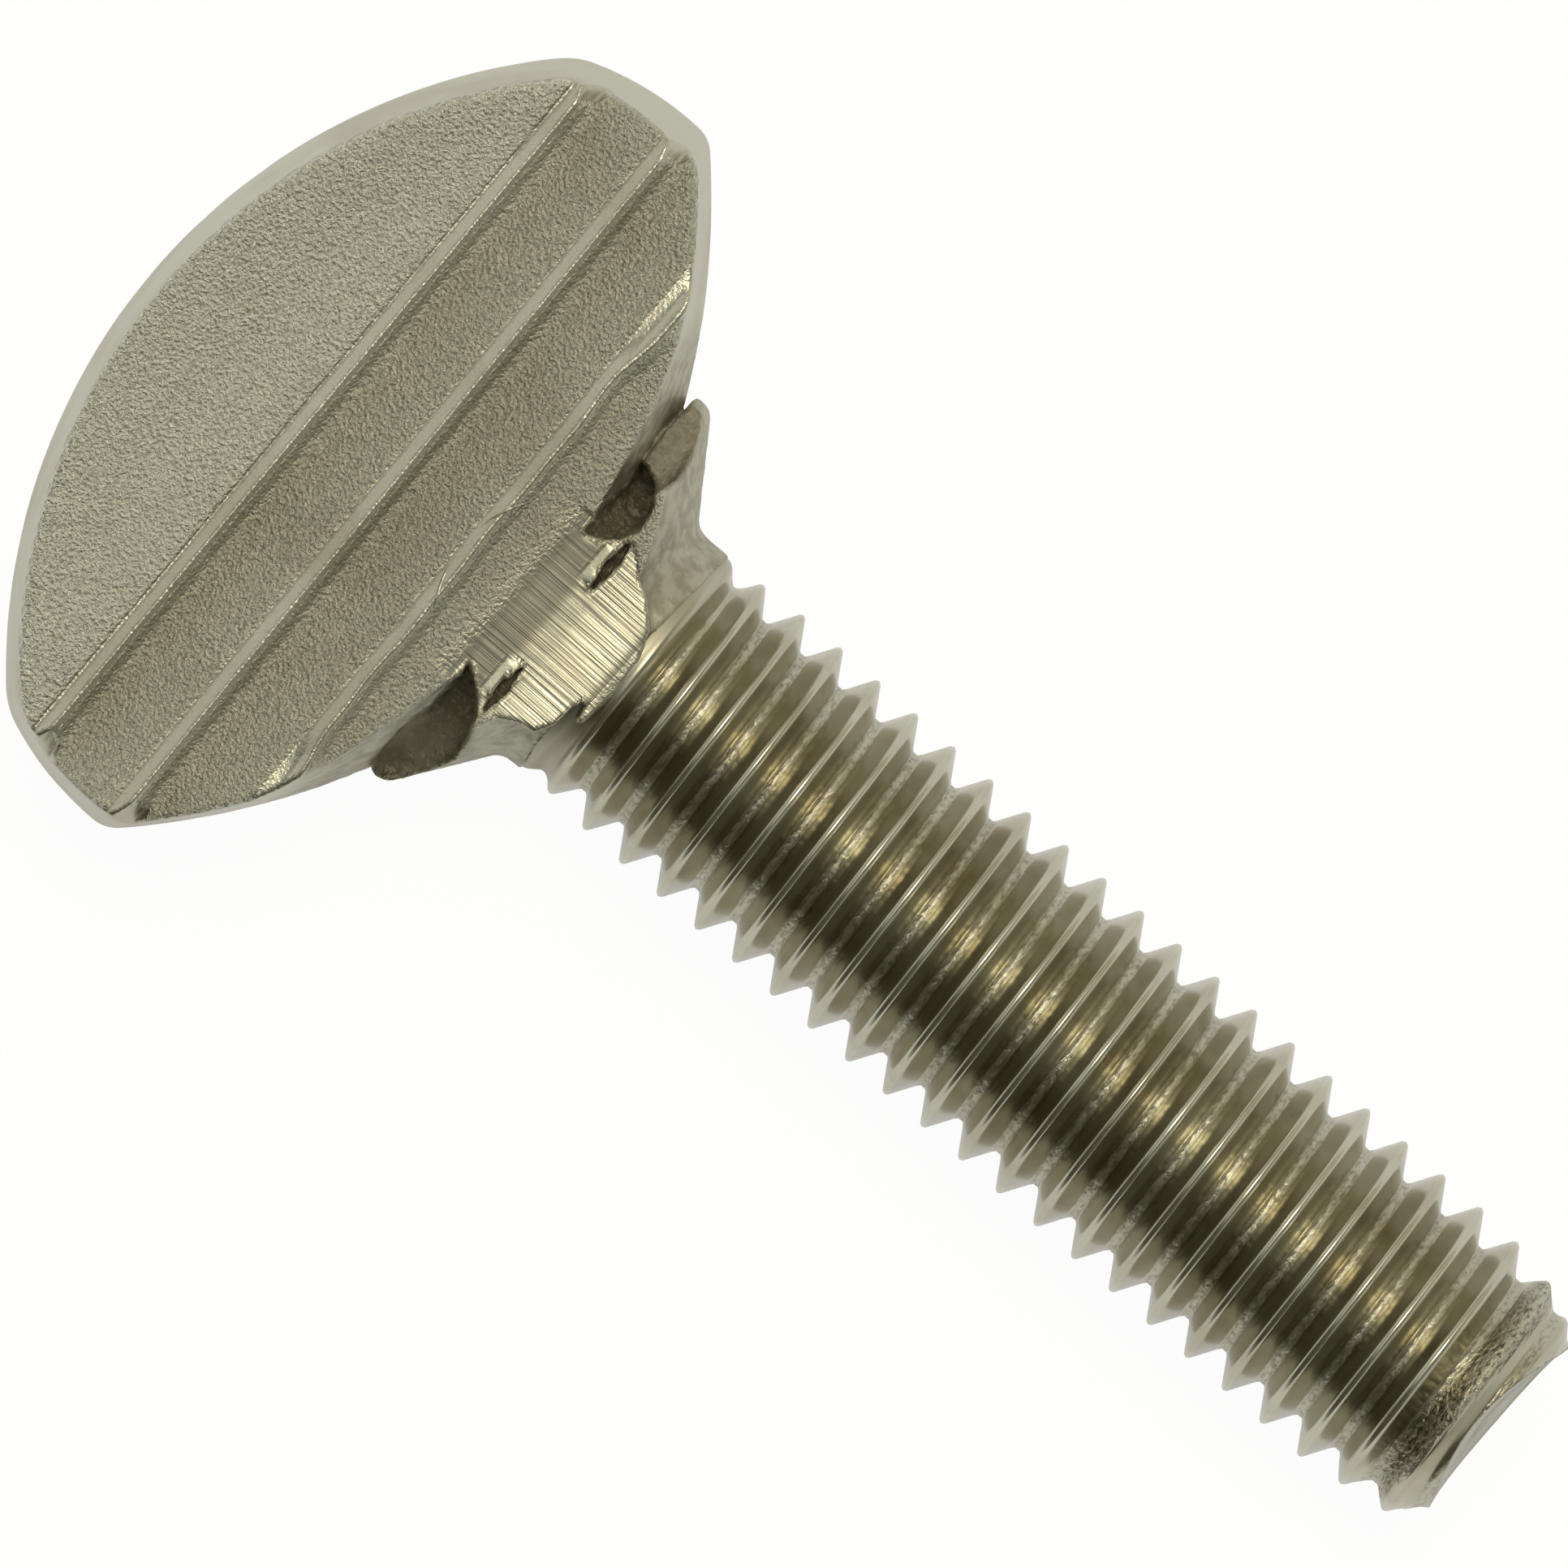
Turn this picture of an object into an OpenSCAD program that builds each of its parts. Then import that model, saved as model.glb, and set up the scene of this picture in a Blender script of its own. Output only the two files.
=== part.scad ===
// Thumb screw forged in one piece from stainless wire: a ribbed, shield-shaped head that is pressed
// flat, a flared collar under it, and a round shank that carries an M5 thread. Millimetres.
// The origin is on the shank's axis where the full thread diameter starts. The tip points along -Y,
// the head along +Y, and the two ribbed faces look along +Z and -Z.

/* [Shank] */
// Diameter over the thread crests, M5 and a little under nominal
thread_d = 4.93; // [4.8:0.01:5]
// Length from the start of the full diameter to the lips at the tip
shank_l = 18.4; // [12:0.1:30]
// Diameter of the plain neck at the collar's foot
neck_d = 4.74; // [4.6:0.01:4.8]
// How much narrower the neck is where the thread starts
neck_taper = 0.08; // [0.04:0.01:0.14]
// Length of the plain neck
neck_l = 0.7; // [0.5:0.1:1]
// Diameter across the lips at the tip
tip_d = 3.44; // [3:0.02:4]
// Length of the bevel at the tip
tip_bevel_l = 1.15; // [0.8:0.05:1.6]
// How far the middle of the tip is drawn in behind its lips, as thread rolling leaves it
tip_dip = 0.28; // [0.1:0.02:0.4]
// Lean of that hollow, in degrees
tip_lean = 4; // [0:1:6]

/* [Collar] */
// Diameter over the collar's rim
collar_d = 7.9; // [7.4:0.1:8.4]
// Height of the collar's flare
collar_h = 1.14; // [0.9:0.02:1.3]
// Height of the rounded rim above the flare
rim_h = 0.2; // [0.1:0.05:0.3]
// Width of each hollow fold between the collar and the head
fold_w = 2.35; // [2:0.05:2.6]
// How far the fold's lower edge dips below its upper edge
fold_dip = 0.67; // [0.5:0.01:0.8]
// Slope of the floor of those folds, in degrees
fold_slope = 30; // [20:1:40]

/* [Neck pad] */
// Radius of the round end of the flat pad that runs from the head over the collar
pad_r = 1.8; // [1.5:0.05:2]
// Half thickness at the pad's foot
pad_z = 2.42; // [2.4:0.01:2.5]
// Width of the small fold slots at the pad's sides
slot_w = 0.95; // [0.6:0.05:1.2]
// Height of those slots
slot_h = 0.14; // [0.08:0.02:0.2]
// Depth of those slots
slot_depth = 0.35; // [0.2:0.05:0.5]

/* [Head] */
// Width of the head between its side walls
head_w = 14.76; // [13.5:0.1:16]
// Height of the crown above the collar's foot
crown_h = 9.3; // [8.8:0.1:10]
// Radius of the crown's arc
crown_r = 9.9; // [9.2:0.1:10.6]
// Radius of each bulged side wall
side_r = 5.2; // [4.8:0.1:6]
// Radius of each lower edge
lower_r = 13.5; // [12.5:0.1:15]
// Draft of the crown and the side walls, in degrees
draft = 8.6; // [5:0.1:12]
// Draft of the two lower edges, in degrees
lower_draft = 4; // [3:0.5:9]
// Half thickness at the crown's edge
crown_z = 2.08; // [1.4:0.02:2.2]
// Sideways shift of the head from the shank's axis, as it was forged
head_shift = -0.13; // [-0.3:0.01:0.3]

/* [Ribs] */
// Number of ribs on each face
rib_count = 3; // [2:1:3]
// Distance from one rib to the next
rib_pitch = 1.675; // [1.5:0.025:1.8]
// Half thickness at the lowest rib, beside the neck
rib_z = 2.85; // [2.8:0.01:3]
// Loss of half thickness from one rib to the next one up
rib_step = 0.29; // [0.24:0.01:0.4]
// Height of a rib's steep lower flank
rib_drop = 0.3; // [0.2:0.02:0.36]
// Length of the slope that leads up to a rib's crest
rib_lead = 0.28; // [0.2:0.02:0.4]
// Tilt of the ribs across the head, in degrees
rib_tilt = 1.5; // [0:0.1:2]
// Depth of the shallow scoop in the top panel
scoop_depth = 0.12; // [0.04:0.01:0.14]

/* [Hidden] */
$fn = 96;
past = 1;
foot_y = neck_l + 0.05;
low_rib_h = 2.44;
low_rib_y = foot_y + low_rib_h;
crown_y = foot_y + crown_h;
crown_centre_y = crown_y - crown_r;
side_centre_x = head_w / 2 - side_r;
side_h = 4.2;
side_centre_y = foot_y + side_h;
lower_centre_x = 2.22;
lower_centre_y = foot_y + lower_r;
wall_z = rib_z + past;
rim_edge = 0.15;
head_mid_y = foot_y + 4;
flank_run = 0.17;
ramp_run = 0.25;
ramp_fall = 0.05;
lead_rise = 0.3;
pad_rise = 0.05;
pad_rise_h = 1.2;
pad_flat_h = 0.4;
pad_fall = 0.1;
pad_centre_x = -0.2;
pad_centre_y = foot_y + 1.05;
fold_top_h = 1.32;
fold_y = foot_y + fold_top_h;
fold_r = (fold_w * fold_w / 4 + fold_dip * fold_dip) / (2 * fold_dip);
slot_x = 1.31;
slot_lift = 0.66;
slot_y = foot_y + slot_lift;
top_rib_y = low_rib_y + (rib_count - 1) * rib_pitch;
top_rib_z = rib_z - (rib_count - 1) * rib_step;
top_foot_y = top_rib_y + rib_lead;
top_foot_z = top_rib_z - lead_rise;
scoop_y = (top_foot_y + crown_y) / 2;
scoop_margin = 0.3;
scoop_half = (crown_y - top_foot_y) / 2 - scoop_margin;
scoop_z = (top_foot_z + crown_z) / 2;
scoop_r = (scoop_half * scoop_half + scoop_depth * scoop_depth) / (2 * scoop_depth);
scoop_lean = atan((top_foot_z - crown_z) / (crown_y - top_foot_y));
dip_r = (tip_d * tip_d / 4 + tip_dip * tip_dip) / (2 * tip_dip);

// Rib number i, counted down from the crown: foot of its lead, crest, foot of its flank, end of its ramp
function rib_points(i) =
    let (y = top_rib_y - i * rib_pitch)
    let (z = top_rib_z + i * rib_step)
    [
        [y + rib_lead, z - lead_rise],
        [y, z],
        [y - flank_run, z - rib_drop],
        [y - flank_run - ramp_run, z - rib_drop - ramp_fall]
    ];

// Outline of one face seen from the side, from above the crown down to the pad's foot
function face_points() = concat(
    [[crown_y + past, crown_z]],
    [for (i = [0 : rib_count - 1], p = rib_points(i)) p],
    [
        [foot_y + pad_rise_h, pad_z + pad_rise],
        [foot_y + pad_flat_h, pad_z],
        [foot_y - pad_flat_h, pad_z],
        [-past, pad_z - pad_fall]
    ]
);

// Half of the thickness profile: length along X, half thickness along Y
module face_profile() {
    difference() {
        polygon(concat([[-past, 0]], [[crown_y + past, 0]], face_points()));
        translate([scoop_y, scoop_z])
            rotate(-scoop_lean)
            intersection() {
                translate([0, scoop_r - scoop_depth])
                    circle(r = scoop_r, $fn = 240);
                translate([-scoop_half, -past])
                    square([2 * scoop_half, 2 * past]);
            }
    }
}

// Both faces with their ribs, as wide as the head and wider
module ribbed_slab() {
    wide = head_w + 4 * past;
    translate([head_shift, head_mid_y, 0])
        rotate([0, 0, rib_tilt])
        translate([-wide / 2, -head_mid_y, 0])
        for (side = [0, 1])
            mirror([0, 0, side])
            rotate([90, 0, 90])
            linear_extrude(wide)
            face_profile();
}

// A disc that loses radius towards both faces, so that its rim has a wall's draft
module drafted_disc(r, lean) {
    for (side = [0, 1])
        mirror([0, 0, side])
        cylinder(h = wall_z, r1 = r, r2 = r - wall_z * tan(lean), $fn = 240);
}

// The space on the inner side of one bulged side wall
module side_limit() {
    translate([side_centre_x, side_centre_y, 0])
        drafted_disc(side_r, draft);
    translate([-head_w, -past, -wall_z])
        cube([head_w + side_centre_x, crown_y + 2 * past, 2 * wall_z]);
}

// The shield shape with its drafted walls
module shield() {
    translate([head_shift, 0, 0])
        intersection() {
            translate([0, crown_centre_y, 0])
                drafted_disc(crown_r, draft);
            intersection_for (side = [0, 1])
                mirror([side, 0, 0])
                side_limit();
            intersection_for (side = [0, 1])
                mirror([side, 0, 0])
                translate([-lower_centre_x, lower_centre_y, 0])
                drafted_disc(lower_r, lower_draft);
        }
}

// The head: ribbed faces inside the shield
module head() {
    intersection() {
        ribbed_slab();
        shield();
    }
}

// The flare that the wire was upset into, with a rounded rim, no thicker than the faces
module collar() {
    rim_r = collar_d / 2;
    flare_r = rim_r - rim_h / 2;
    intersection() {
        rotate([-90, 0, 0])
            rotate_extrude($fn = 120)
            polygon([
                [0, 0],
                [neck_d / 2, neck_l],
                [flare_r, neck_l + collar_h],
                [rim_r, neck_l + collar_h + rim_h],
                [rim_r - rim_edge, neck_l + collar_h + rim_h + rim_edge],
                [0, neck_l + collar_h + rim_h + rim_edge]
            ]);
        ribbed_slab();
    }
}

// The flat pad with its round end, standing a little proud of the neck
module neck_pad() {
    intersection() {
        translate([pad_centre_x, pad_centre_y, -wall_z])
            linear_extrude(2 * wall_z)
            union() {
                circle(r = pad_r);
                translate([-pad_r, 0])
                    square([2 * pad_r, 1]);
            }
        ribbed_slab();
    }
}

// One hollow fold on the -X side, open to the face and outwards, with a floor that rises inwards
module fold() {
    translate([-collar_d / 2, fold_y, 0])
        intersection() {
            linear_extrude(wall_z)
                intersection() {
                    translate([fold_w / 2, fold_r - fold_dip])
                        circle(r = fold_r);
                    translate([0, -fold_w])
                        square(fold_w);
                }
            rotate([0, -fold_slope, 0])
                translate([0, -wall_z, 0])
                cube([2 * fold_w, 2 * wall_z, wall_z]);
        }
}

// One short slot where the metal folded over beside the pad
module fold_slot() {
    translate([slot_x - slot_w / 2, slot_y - slot_h / 2, pad_z - slot_depth])
        cube([slot_w, slot_h, past]);
}

// Folds and slots on both sides of both faces
module all_folds() {
    for (face = [0, 1], side = [0, 1])
        mirror([0, 0, face]) {
            mirror([side, 0, 0])
                fold();
            translate([pad_centre_x, 0, 0])
                mirror([side, 0, 0])
                fold_slot();
        }
}

// The round shank with its bevelled tip and the plain neck above
module shank() {
    crest_r = thread_d / 2;
    rotate([90, 0, 0])
        cylinder(h = shank_l - tip_bevel_l, r = crest_r);
    translate([0, tip_bevel_l - shank_l, 0])
        rotate([90, 0, 0])
        cylinder(h = tip_bevel_l, r1 = crest_r, r2 = tip_d / 2);
    rotate([-90, 0, 0])
        cylinder(h = foot_y, r1 = (neck_d - neck_taper) / 2, r2 = neck_d / 2);
}

// The hollow that thread rolling draws into the tip
module tip_hollow() {
    translate([0, -shank_l - dip_r + tip_dip, 0])
        rotate([tip_lean, 0, 0])
        cylinder(h = 2 * thread_d, r = dip_r, center = true);
}

// The whole screw, one forging
module thumb_screw() {
    color("#a8a294")
        difference() {
            union() {
                head();
                collar();
                neck_pad();
                shank();
            }
            all_folds();
            tip_hollow();
        }
}
thumb_screw();
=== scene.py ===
"""Thumb screw: a forged stainless head with cross ribs, a folded collar and a rolled M5 thread.

Laid out as an add-on, and run as a script. Lengths are millimetres in the head's shape, else metres.
The origin is on the shank's axis where the full thread starts, +Y runs to the head, +Z out of a face.
"""

import math
from functools import partial

import bpy
import numpy as np
from bpy.props import FloatProperty, FloatVectorProperty, IntProperty, PointerProperty
from mathutils import Matrix, Vector


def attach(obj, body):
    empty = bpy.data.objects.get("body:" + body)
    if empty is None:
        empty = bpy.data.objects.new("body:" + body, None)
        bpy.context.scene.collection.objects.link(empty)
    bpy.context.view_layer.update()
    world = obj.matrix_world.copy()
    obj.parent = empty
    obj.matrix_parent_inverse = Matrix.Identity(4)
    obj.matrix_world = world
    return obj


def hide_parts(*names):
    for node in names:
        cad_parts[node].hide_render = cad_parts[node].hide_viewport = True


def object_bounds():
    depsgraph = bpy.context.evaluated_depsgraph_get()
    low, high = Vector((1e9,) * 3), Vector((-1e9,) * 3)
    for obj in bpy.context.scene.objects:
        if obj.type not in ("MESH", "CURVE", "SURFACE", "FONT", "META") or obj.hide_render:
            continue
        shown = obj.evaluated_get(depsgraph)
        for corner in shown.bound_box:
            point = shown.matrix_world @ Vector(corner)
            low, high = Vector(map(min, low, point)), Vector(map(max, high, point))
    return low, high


bl_info = {
    "name": "Thumb Screw",
    "version": (1, 0, 0),
    "blender": (4, 5, 0),
    "location": "View3D > Sidebar > Thumb Screw",
    "description": "Builds a forged thumb screw with a ribbed head and a rolled thread",
    "category": "Object",
}

MM = 0.001

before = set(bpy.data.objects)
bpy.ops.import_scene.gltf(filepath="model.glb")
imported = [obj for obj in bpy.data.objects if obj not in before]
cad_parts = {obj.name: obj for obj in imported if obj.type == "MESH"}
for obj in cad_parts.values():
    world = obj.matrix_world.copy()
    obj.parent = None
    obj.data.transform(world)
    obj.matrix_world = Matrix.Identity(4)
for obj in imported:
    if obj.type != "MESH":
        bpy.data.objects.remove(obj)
cad_low, cad_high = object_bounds()


def srgb(text):
    """A hex colour as linear red, green, blue and alpha."""
    values = [int(text[i : i + 2], 16) / 255 for i in (1, 3, 5)]
    linear = [v / 12.92 if v <= 0.04045 else ((v + 0.055) / 1.055) ** 2.4 for v in values]
    return (*linear, 1.0)


# Sizes and colours that a user would change


class HeadSizes(bpy.types.PropertyGroup):
    """Sizes of the forged head"""

    width: FloatProperty(
        name="Width", description="Width between the side walls", default=0.01476, unit="LENGTH", precision=5
    )
    crown_height: FloatProperty(
        name="Crown height", description="From the collar's foot to the crown", default=0.0093, unit="LENGTH"
    )
    crown_radius: FloatProperty(
        name="Crown radius", description="Radius of the crown's arc", default=0.0099, unit="LENGTH"
    )
    draft: FloatProperty(
        name="Draft", description="Lean of the walls", default=math.radians(8.6), subtype="ANGLE"
    )
    rib_pitch: FloatProperty(
        name="Rib pitch",
        description="From one rib to the next",
        default=0.001675,
        unit="LENGTH",
        precision=5,
    )
    rib_height: FloatProperty(
        name="Rib height", description="Height of a rib's lower flank", default=0.0003, unit="LENGTH"
    )
    half_base: FloatProperty(
        name="Half base", description="Half thickness at the lowest rib", default=0.00285, unit="LENGTH"
    )
    cell: FloatProperty(
        name="Cell", description="Mesh spacing over the neck", default=0.000078, unit="LENGTH", precision=6
    )


class ThreadSizes(bpy.types.PropertyGroup):
    """Sizes of the rolled thread"""

    crest_diameter: FloatProperty(
        name="Crest diameter", description="Over the thread's crests", default=0.00493, unit="LENGTH"
    )
    root_diameter: FloatProperty(
        name="Root diameter", description="At the bottom of the grooves", default=0.00394, unit="LENGTH"
    )
    pitch: FloatProperty(
        name="Pitch", description="From crest to crest", default=0.0008, unit="LENGTH"
    )
    length: FloatProperty(
        name="Length",
        description="From the full diameter's start to the tip's lips",
        default=0.01835,
        unit="LENGTH",
    )
    lip_diameter: FloatProperty(
        name="Lip diameter", description="Across the lips at the tip", default=0.00344, unit="LENGTH"
    )
    segments: IntProperty(
        name="Segments", description="Mesh columns around the shank", default=96, min=24, max=160
    )


class Finish(bpy.types.PropertyGroup):
    """Colours of the steel"""

    steel: FloatVectorProperty(
        name="Steel",
        description="Bare stainless steel",
        size=4,
        subtype="COLOR",
        default=srgb("#c6c5b4"),
    )
    # Stain colour, also used for painted shade in the head's torn hollows and on the thread's flanks and
    # roots
    stain_and_shade: FloatVectorProperty(
        name="Stain",
        description="Oil and heat stain in hollows",
        size=4,
        subtype="COLOR",
        default=srgb("#7d6c42"),
    )


# Adding nodes

MATH = "ShaderNodeMath"
RANGE = "ShaderNodeMapRange"
MIX = "ShaderNodeMix"
VECTOR = "ShaderNodeVectorMath"
# What a kind of node is set to where nothing else is said
USUAL = {RANGE: {"interpolation_type": "SMOOTHSTEP"}, MIX: {"data_type": "RGBA"}}


def add(tree, kind, *inputs, **settings):
    """Adds one node with its settings and returns it. Its inputs are given in order, or by name in a dict.

    Each input is a value, a socket, or a node that stands for its first output in use.
    """
    node = tree.nodes.new(kind)
    for name, value in {**USUAL.get(kind, {}), **settings}.items():
        setattr(node, name, value)
    by_name = bool(inputs) and isinstance(inputs[0], dict)
    for key, value in (inputs[0] if by_name else dict(enumerate(inputs))).items():
        if isinstance(value, bpy.types.Node):
            value = next(socket for socket in value.outputs if socket.enabled)
        if isinstance(value, bpy.types.NodeSocket):
            tree.links.new(value, node.inputs[key])
        else:
            node.inputs[key].default_value = value
    return node


def product(tree, value, *others):
    """Values multiplied together."""
    for other in others:
        value = add(tree, MATH, value, other, operation="MULTIPLY")
    return value


def weigh(tree, base, *terms):
    """A base value plus each term, which is one or more values times a weight."""
    total = base
    for *values, weight in terms:
        total = add(tree, MATH, product(tree, *values), weight, total, operation="MULTIPLY_ADD")
    return total


def layered(tree, base, *coats):
    """A base colour with coats over it. Each coat is a colour and the shares that it shows with."""
    colour = base
    # A Mix node's two colours are its inputs 6 and 7
    for coat, *shares in coats:
        colour = add(tree, MIX, {0: product(tree, *shares), 6: colour, 7: coat})
    return colour


# The head's shape as a distance field in millimetres, negative inside

# Heights count from the collar's foot, FOOT_Y over the origin. y is the true one, t follows the leaning ribs
FOOT_Y = 0.75
AXIS_SHIFT = -0.13
# The bulged side walls: radius and height of their middle
SIDE_R = 5.2
SIDE_MID = 4.35
# The lower edges: radius of their arcs, and how far past the middle the centres lie
LOWER_R = 13.5
LOWER_X = 2.22
# Inset of the lower edges' walls for each millimetre of depth, at places across the head
LOWER_PLACES = (1.5, 2.4, 3.8, 4.7, 5.3)
LOWER_LEANS = (0.32, 0.27, 0.164, 0.098, 0.06)
# The ribs: the lowest one's height, and the loss of half thickness from one to the next
RIB_COUNT = 3
LOW_RIB = 2.44
STEP_UP = 0.29
# Each rib's section: the steep flank below its crest, the ramp below that, the lead above it, and the
# rounding of its corners
FLANK_RUN = 0.20
RAMP_RUN = 0.18
RAMP_FALL = 0.008
LEAD_RUN = 0.21
LEAD_RISE = 0.18
BEND = 0.022
# Half thickness at the crown's edge, and the depth of the dish in the top panel
CROWN_Z = 2.08
DISH_DEPTH = 0.17
# The neck: its radius, its foot, and how that leans across
NECK_R = 2.37
NECK_FOOT = -0.52
NECK_LEAN = 0.063
# The collar: how fast its flare widens, its rim's radius and height, and the rim's fall towards the faces
FLARE_SLOPE = 1.44
RIM_R = 3.97
RIM_TOP = 1.42
RIM_FALL = 0.14
# Half thickness of the pad beside the slots
PAD_Z = 2.42
# Hollow folds: the height of their upper edge and its rise, then the middle, half length and dip of each
FOLD_TOP = 1.345
FOLD_RISE = 0.15
LEFT_FOLD = (2.76, 1.24, 0.80)
DEEP_FOLD = (1.98, 0.70, 0.64)
SHALLOW_FOLD = (2.95, 1.10, 0.56)
# Slots under the folded lips beside the pad, and how far the lips stand up
SLOT_MIDDLES = (-1.48, 1.14)
SLOT_Y = 0.66
LIP_RISE = 0.045
# How far each rib leans across the head, in degrees, from the lowest one up
LEANS = (1.76, 1.63, 1.16)
# Rise of the pad towards the head: heights over the foot, and the slope from each one on
PAD_RISES = ((-0.5, -0.06), (0.15, 0.01), (0.45, 0.07), (0.85, 0.16), (1.65, 0.12))
# The pad's outline over the neck, as it tore: x and height over the collar's foot
PAD_OUTLINE = (
    (-1.85, 2.4),
    (-1.97, 0.57),
    (-1.72, 0.12),
    (-1.67, -0.17),
    (-1.27, -0.38),
    (-1.05, -0.66),
    (-0.28, -0.76),
    (0.28, -0.68),
    (0.78, -0.49),
    (1.15, -0.08),
    (1.25, 0.15),
    (1.62, 0.57),
    (1.5, 2.4),
)


def soft_max(a, b, width):
    """The larger of two distances, with the edge between them rounded over that width."""
    near = np.maximum(width - np.abs(a - b), 0.0) / width
    return np.maximum(a, b) + near * near * width * 0.25


def soft_min(a, b, width):
    """The smaller of two distances, with the corner between them filled over that width."""
    return -soft_max(-a, -b, width)


def fade(value, low, high):
    """0 at low, 1 at high and smooth between."""
    s = np.clip((value - low) / (high - low), 0.0, 1.0)
    return s * s * (3.0 - 2.0 * s)


def rib_place(i):
    """Height of rib i's crest over the collar's foot, counted from the lowest."""
    return LOW_RIB + i * bpy.context.scene.screw_head.rib_pitch / MM


def rib_lean(t):
    """Lean of the ribs at a height, as a slope."""
    places = [1.0] + [rib_place(i) for i in range(RIB_COUNT)]
    return np.interp(t, places, [0.0] + [math.tan(math.radians(a)) for a in LEANS])


def straight(x, t):
    """The true height of a point that is given along the leaning ribs."""
    return t + rib_lean(t) * (x - AXIS_SHIFT)


def face_corners():
    """Corners of the face's profile from the pad to the crown: height over the foot, half thickness."""
    sizes = bpy.context.scene.screw_head
    drop = sizes.rib_height / MM
    ribs = []
    for i in range(RIB_COUNT):
        crest = rib_place(i)
        z = sizes.half_base / MM - i * STEP_UP
        ribs.append((crest - FLANK_RUN - RAMP_RUN, z - drop - RAMP_FALL))
        ribs.append((crest - FLANK_RUN, z - drop))
        ribs.append((crest, z))
        ribs.append((crest + LEAD_RUN, z - LEAD_RISE))
    # The pad is followed down from the lowest rib
    above, height = ribs[0]
    pad = []
    for place, slope in reversed(PAD_RISES):
        height -= slope * (above - place)
        above = place
        pad.append((place, height))
    pad.append((-2.0, height))
    return [*reversed(pad), *ribs, (sizes.crown_height / MM + 0.5, CROWN_Z)]


def rib_smear(x, t):
    """How far the lowest rib's crest is off its line on the front: wavy, and smeared down at its ends."""
    across = x - AXIS_SHIFT
    wave = 0.018 * np.sin(1.9 * across + 0.7) + 0.012 * np.sin(4.3 * across - 0.4)
    push = wave - 0.13 * fade(np.abs(across), 3.5, 4.7)
    low = rib_place(0)
    return push * fade(t, low - 0.75, low - 0.3) * (1 - fade(t, low + 0.02, low + 0.28))


def face_height(x, t, back):
    """Half thickness of the ribbed face."""
    u = t if back else t - rib_smear(x, t)
    corners = face_corners()
    (y0, z0), (y1, z1) = corners[:2]
    slope = (z1 - z0) / (y1 - y0)
    height = z0 + slope * (u - y0)
    for (y0, z0), (y1, z1) in zip(corners[1:], corners[2:]):
        following = (z1 - z0) / (y1 - y0)
        height = height + (following - slope) * BEND * np.logaddexp(0.0, (u - y0) / BEND)
        slope = following
    return height


def thumb_dish(x, y):
    """Depth of the shallow dish in the top panel, which follows the crown's arc."""
    sizes = bpy.context.scene.screw_head
    crown_r = sizes.crown_radius / MM
    inward = crown_r - np.hypot(x - AXIS_SHIFT, y - sizes.crown_height / MM + crown_r)
    top = rib_place(RIB_COUNT - 1) + LEAD_RUN
    return DISH_DEPTH * fade(inward, 0.2, 2.0) * fade(y, top - 0.2, top + 1.5)


def shield(x, y, z):
    """The drafted outline of the head."""
    sizes = bpy.context.scene.screw_head
    lean = math.tan(sizes.draft)
    # Rounded at the middle, so that the walls meet without a sharp ridge
    depth = np.sqrt(z * z + 0.02)
    reach = np.abs(x - AXIS_SHIFT)
    crown_r = sizes.crown_radius / MM
    crown = np.hypot(reach, y - sizes.crown_height / MM + crown_r) - crown_r + depth * lean
    side_x = sizes.width / MM / 2 - SIDE_R
    bulge = np.hypot(np.maximum(reach - side_x, 0.0), np.clip(y - SIDE_MID, -3.0, 3.0))
    side = bulge - SIDE_R + depth * lean
    lower_lean = np.interp(reach, LOWER_PLACES, LOWER_LEANS)
    lower = np.hypot(reach + LOWER_X, y - LOWER_R) - LOWER_R + depth * lower_lean
    return soft_max(soft_max(crown, side, 0.12), lower, 0.16)


def notch(t):
    """How far the face's edge is drawn in at the ends of the upper ribs' flanks, from 0 to 1."""
    total = 0.0
    for i in range(1, RIB_COUNT):
        d = t - rib_place(i)
        total = np.maximum(total, np.minimum(fade(d, -0.40, -0.20), 1.0 - fade(d, -0.06, 0.16)))
    return total


def outline_distance(x, y, points):
    """Distance to a closed outline, negative inside."""
    inside = np.zeros(np.broadcast(x, y).shape, bool)
    best = np.full(inside.shape, 1e9)
    for (ax, ay), (bx, by) in zip(points, points[1:] + points[:1]):
        ex, ey = bx - ax, by - ay
        k = np.clip(((x - ax) * ex + (y - ay) * ey) / (ex * ex + ey * ey), 0.0, 1.0)
        best = np.minimum(best, np.hypot(x - ax - k * ex, y - ay - k * ey))
        inside ^= ((ay > y) != (by > y)) & (x < ex * (y - ay) / (ey + 1e-12) + ax)
    return np.where(inside, -best, best)


def pocket(x, y, middle, half, dip, floor):
    """A boat-shaped hollow: its middle, half its length, its dip and its floor's distance.

    Its upper edge is level, but for a small rise towards the collar's rim.
    """
    radius = (half * half + dip * dip) / (2 * dip)
    arc = np.hypot(x - middle, np.minimum(y - FOLD_TOP, 0.0) + dip - radius) - radius
    roof = y - FOLD_TOP - FOLD_RISE * fade(x, 2.4, 3.1)
    return soft_max(soft_max(arc, roof, 0.08), floor, 0.30)


def fold_pocket(x, y, z, side):
    """One hollow fold between collar and head. On +X a shallow pocket lies outside a deep one."""
    out = side * x
    depth = np.abs(z)
    # Each floor lies deeper under the face the further out it is
    if side < 0:
        return pocket(out, y, *LEFT_FOLD, 0.50 * (4.05 - out) + 0.10 - depth)
    deep = pocket(out, y, *DEEP_FOLD, 0.9 * (2.75 - out) + 0.75 - depth)
    shallow = pocket(out, y, *SHALLOW_FOLD, 2.10 - 0.72 * (out - 2.2) - depth)
    return soft_min(deep, shallow, 0.06)


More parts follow.
